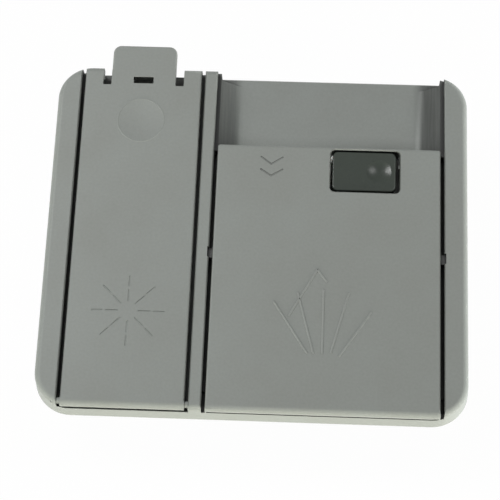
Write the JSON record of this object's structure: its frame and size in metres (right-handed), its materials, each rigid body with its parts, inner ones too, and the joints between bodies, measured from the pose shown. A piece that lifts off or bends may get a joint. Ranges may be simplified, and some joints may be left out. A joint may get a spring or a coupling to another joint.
{
  "type": "dishwasher detergent dispenser",
  "caption": "Door-mounted dishwasher dispenser: sliding detergent lid with rocker release, hinged rinse-aid flap, tank, solenoid catch and dosing valve.",
  "frame": {"origin": "middle of the four door screws, on the plane where the flange seats on the door", "axes": "+X along the bezel, +Y towards the flap's pull tab, +Z out of the front face"},
  "size_m": [0.1826, 0.1675, 0.0427],
  "materials": {
    "shell_grey": "satin moulded polypropylene",
    "button_grey": "satin moulded, dark grey",
    "inner_grey": "plain moulded",
    "tank_white": "milky moulded",
    "seal_rubber": "matte black",
    "valve_rubber": "matte red-brown silicone",
    "spring_steel": "bright drawn wire",
    "frame_steel": "zinc plated",
    "terminal_brass": "bright",
    "coil_copper": "enamelled copper wire",
    "acetal_white": "smooth acetal",
    "sensor_black": "moulded black",
    "magnet_dark": "sintered ferrite"
  },
  "bodies": {
    "housing": {"housing": "shell_grey", "door_gasket": "seal_rubber", "tank_shell": "tank_white", "shaft_seal": "seal_rubber", "solenoid_frame": "frame_steel", "coil_bobbin": "sensor_black", "coil_winding": "coil_copper", "coil_terminals": "terminal_brass", "fixed_core": "frame_steel", "frame_screws": "frame_steel", "plunger_spring": "spring_steel", "dosing_cap": "tank_white", "rod_seal": "seal_rubber", "valve_spring": "spring_steel", "float_rod": "acetal_white", "reed_sensor": "sensor_black", "sensor_terminals": "terminal_brass"},
    "lid": {"detergent_lid": "shell_grey", "lid_liner": "inner_grey", "lid_gasket": "seal_rubber", "button_spring": "spring_steel"},
    "button": {"release_button": "button_grey"},
    "flap": {"rinse_flap": "shell_grey", "filler_seal": "seal_rubber"},
    "plunger": {"plunger": "frame_steel", "yoke_link": "acetal_white", "link_pin": "spring_steel", "dosing_rod": "acetal_white", "valve_disc": "valve_rubber"},
    "catch": {"latch_rotor": "acetal_white", "latch_crank": "acetal_white", "crank_clip": "spring_steel"},
    "float": {"level_float": "acetal_white", "float_magnet": "magnet_dark"}
  },
  "joints": [
    {"name": "lid_slide", "type": "slide", "parent": "housing", "child": "lid", "axis": [0, 1, 0], "range_m": [0, 0.075]},
    {"name": "button_rock", "type": "hinge", "parent": "lid", "child": "button", "pos_m": [0.047, 0.031, 0.0094], "axis": [0, 1, 0], "range_deg": [0, 8], "stiffness_Nm_per_rad": 0.25, "deforming": ["button_spring"]},
    {"name": "flap_hinge", "type": "hinge", "parent": "housing", "child": "flap", "pos_m": [-0.05295, -0.0753, 0.0101], "axis": [1, 0, 0], "range_deg": [0, 100]},
    {"name": "plunger_slide", "type": "slide", "parent": "housing", "child": "plunger", "axis": [1, 0, 0], "range_m": [-0.00848, 0], "deforming": ["plunger_spring", "valve_spring"]},
    {"name": "catch_turn", "type": "hinge", "parent": "housing", "child": "catch", "pos_m": [0.033, 0.0363, 0], "axis": [0, 0, 1], "range_deg": [-90.5, 0]},
    {"name": "float_slide", "type": "slide", "parent": "housing", "child": "float", "axis": [0, 1, 0], "range_m": [0, 0.022]}
  ],
  "couplings": [
    {"joint": "catch_turn", "follows": "plunger_slide", "rad_per_m": 185.12}
  ]
}
